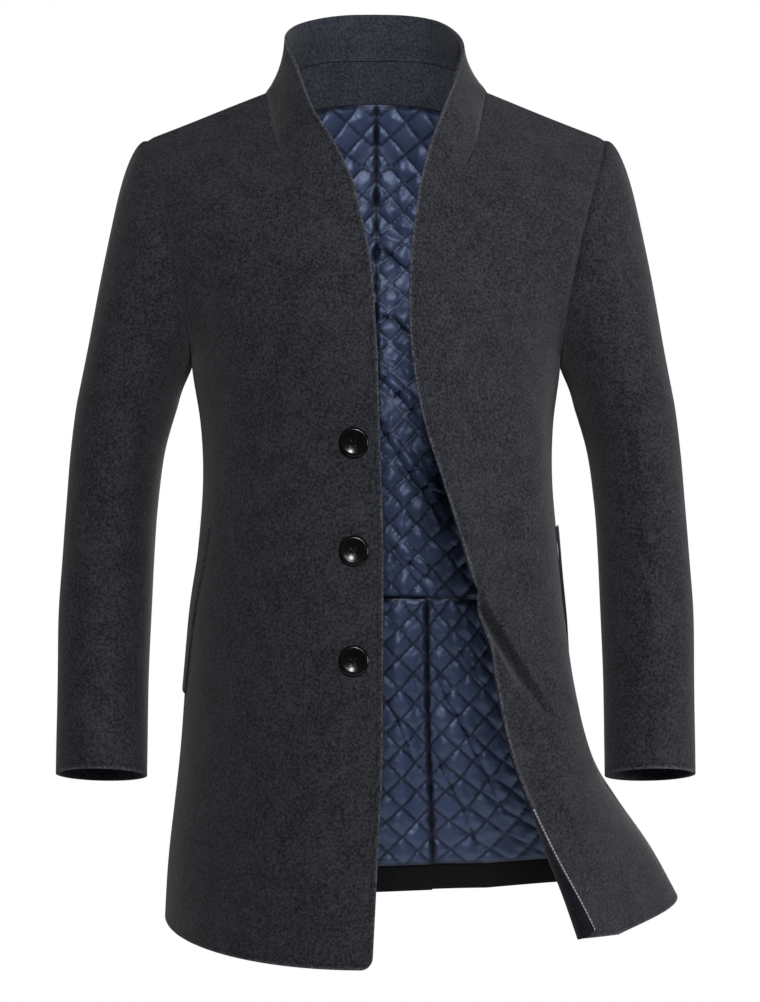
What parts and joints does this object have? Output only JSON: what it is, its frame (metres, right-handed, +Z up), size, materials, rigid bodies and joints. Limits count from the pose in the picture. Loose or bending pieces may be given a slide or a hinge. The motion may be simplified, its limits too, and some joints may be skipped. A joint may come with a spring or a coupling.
{
  "type": "wool overcoat",
  "caption": "Charcoal wool mid-length overcoat with a standing collar, worn open, quilted satin lining, slanted welt pockets and a hollow form with no wearer.",
  "frame": {"origin": "base of the neck, midway between the two shoulder points, where the wearer holds the coat up", "axes": "+X towards the wearer's left, +Y towards the coat's back, +Z up"},
  "size_m": [0.626, 0.2929, 0.9234],
  "materials": {
    "wool": "matte napped melange wool",
    "wool_inside": "matte wool facing",
    "satin": "quilted navy satin, soft sheen",
    "horn": "polished horn-like resin"
  },
  "bodies": {
    "root": {"front_right": "wool", "back_right": "wool", "sleeve_under_right": "wool", "sleeve_upper_right": "wool", "front_left": "wool", "back_left": "wool", "sleeve_under_left": "wool", "sleeve_upper_left": "wool", "facing_right": "wool_inside", "facing_left": "wool_inside", "collar_inner": "wool_inside", "neck_facing": "wool_inside", "lining_upper_right": "satin", "lining_upper_left": "satin", "lining_skirt_right": "satin", "lining_skirt_left": "satin", "hem_facing_right": "wool_inside", "cuff_facing_right": "wool_inside", "hem_facing_left": "wool_inside", "cuff_facing_left": "wool_inside", "pocket_welt_right": "wool", "pocket_welt_left": "wool", "button_1": "horn", "button_2": "horn", "button_3": "horn"}
  },
  "joints": []
}
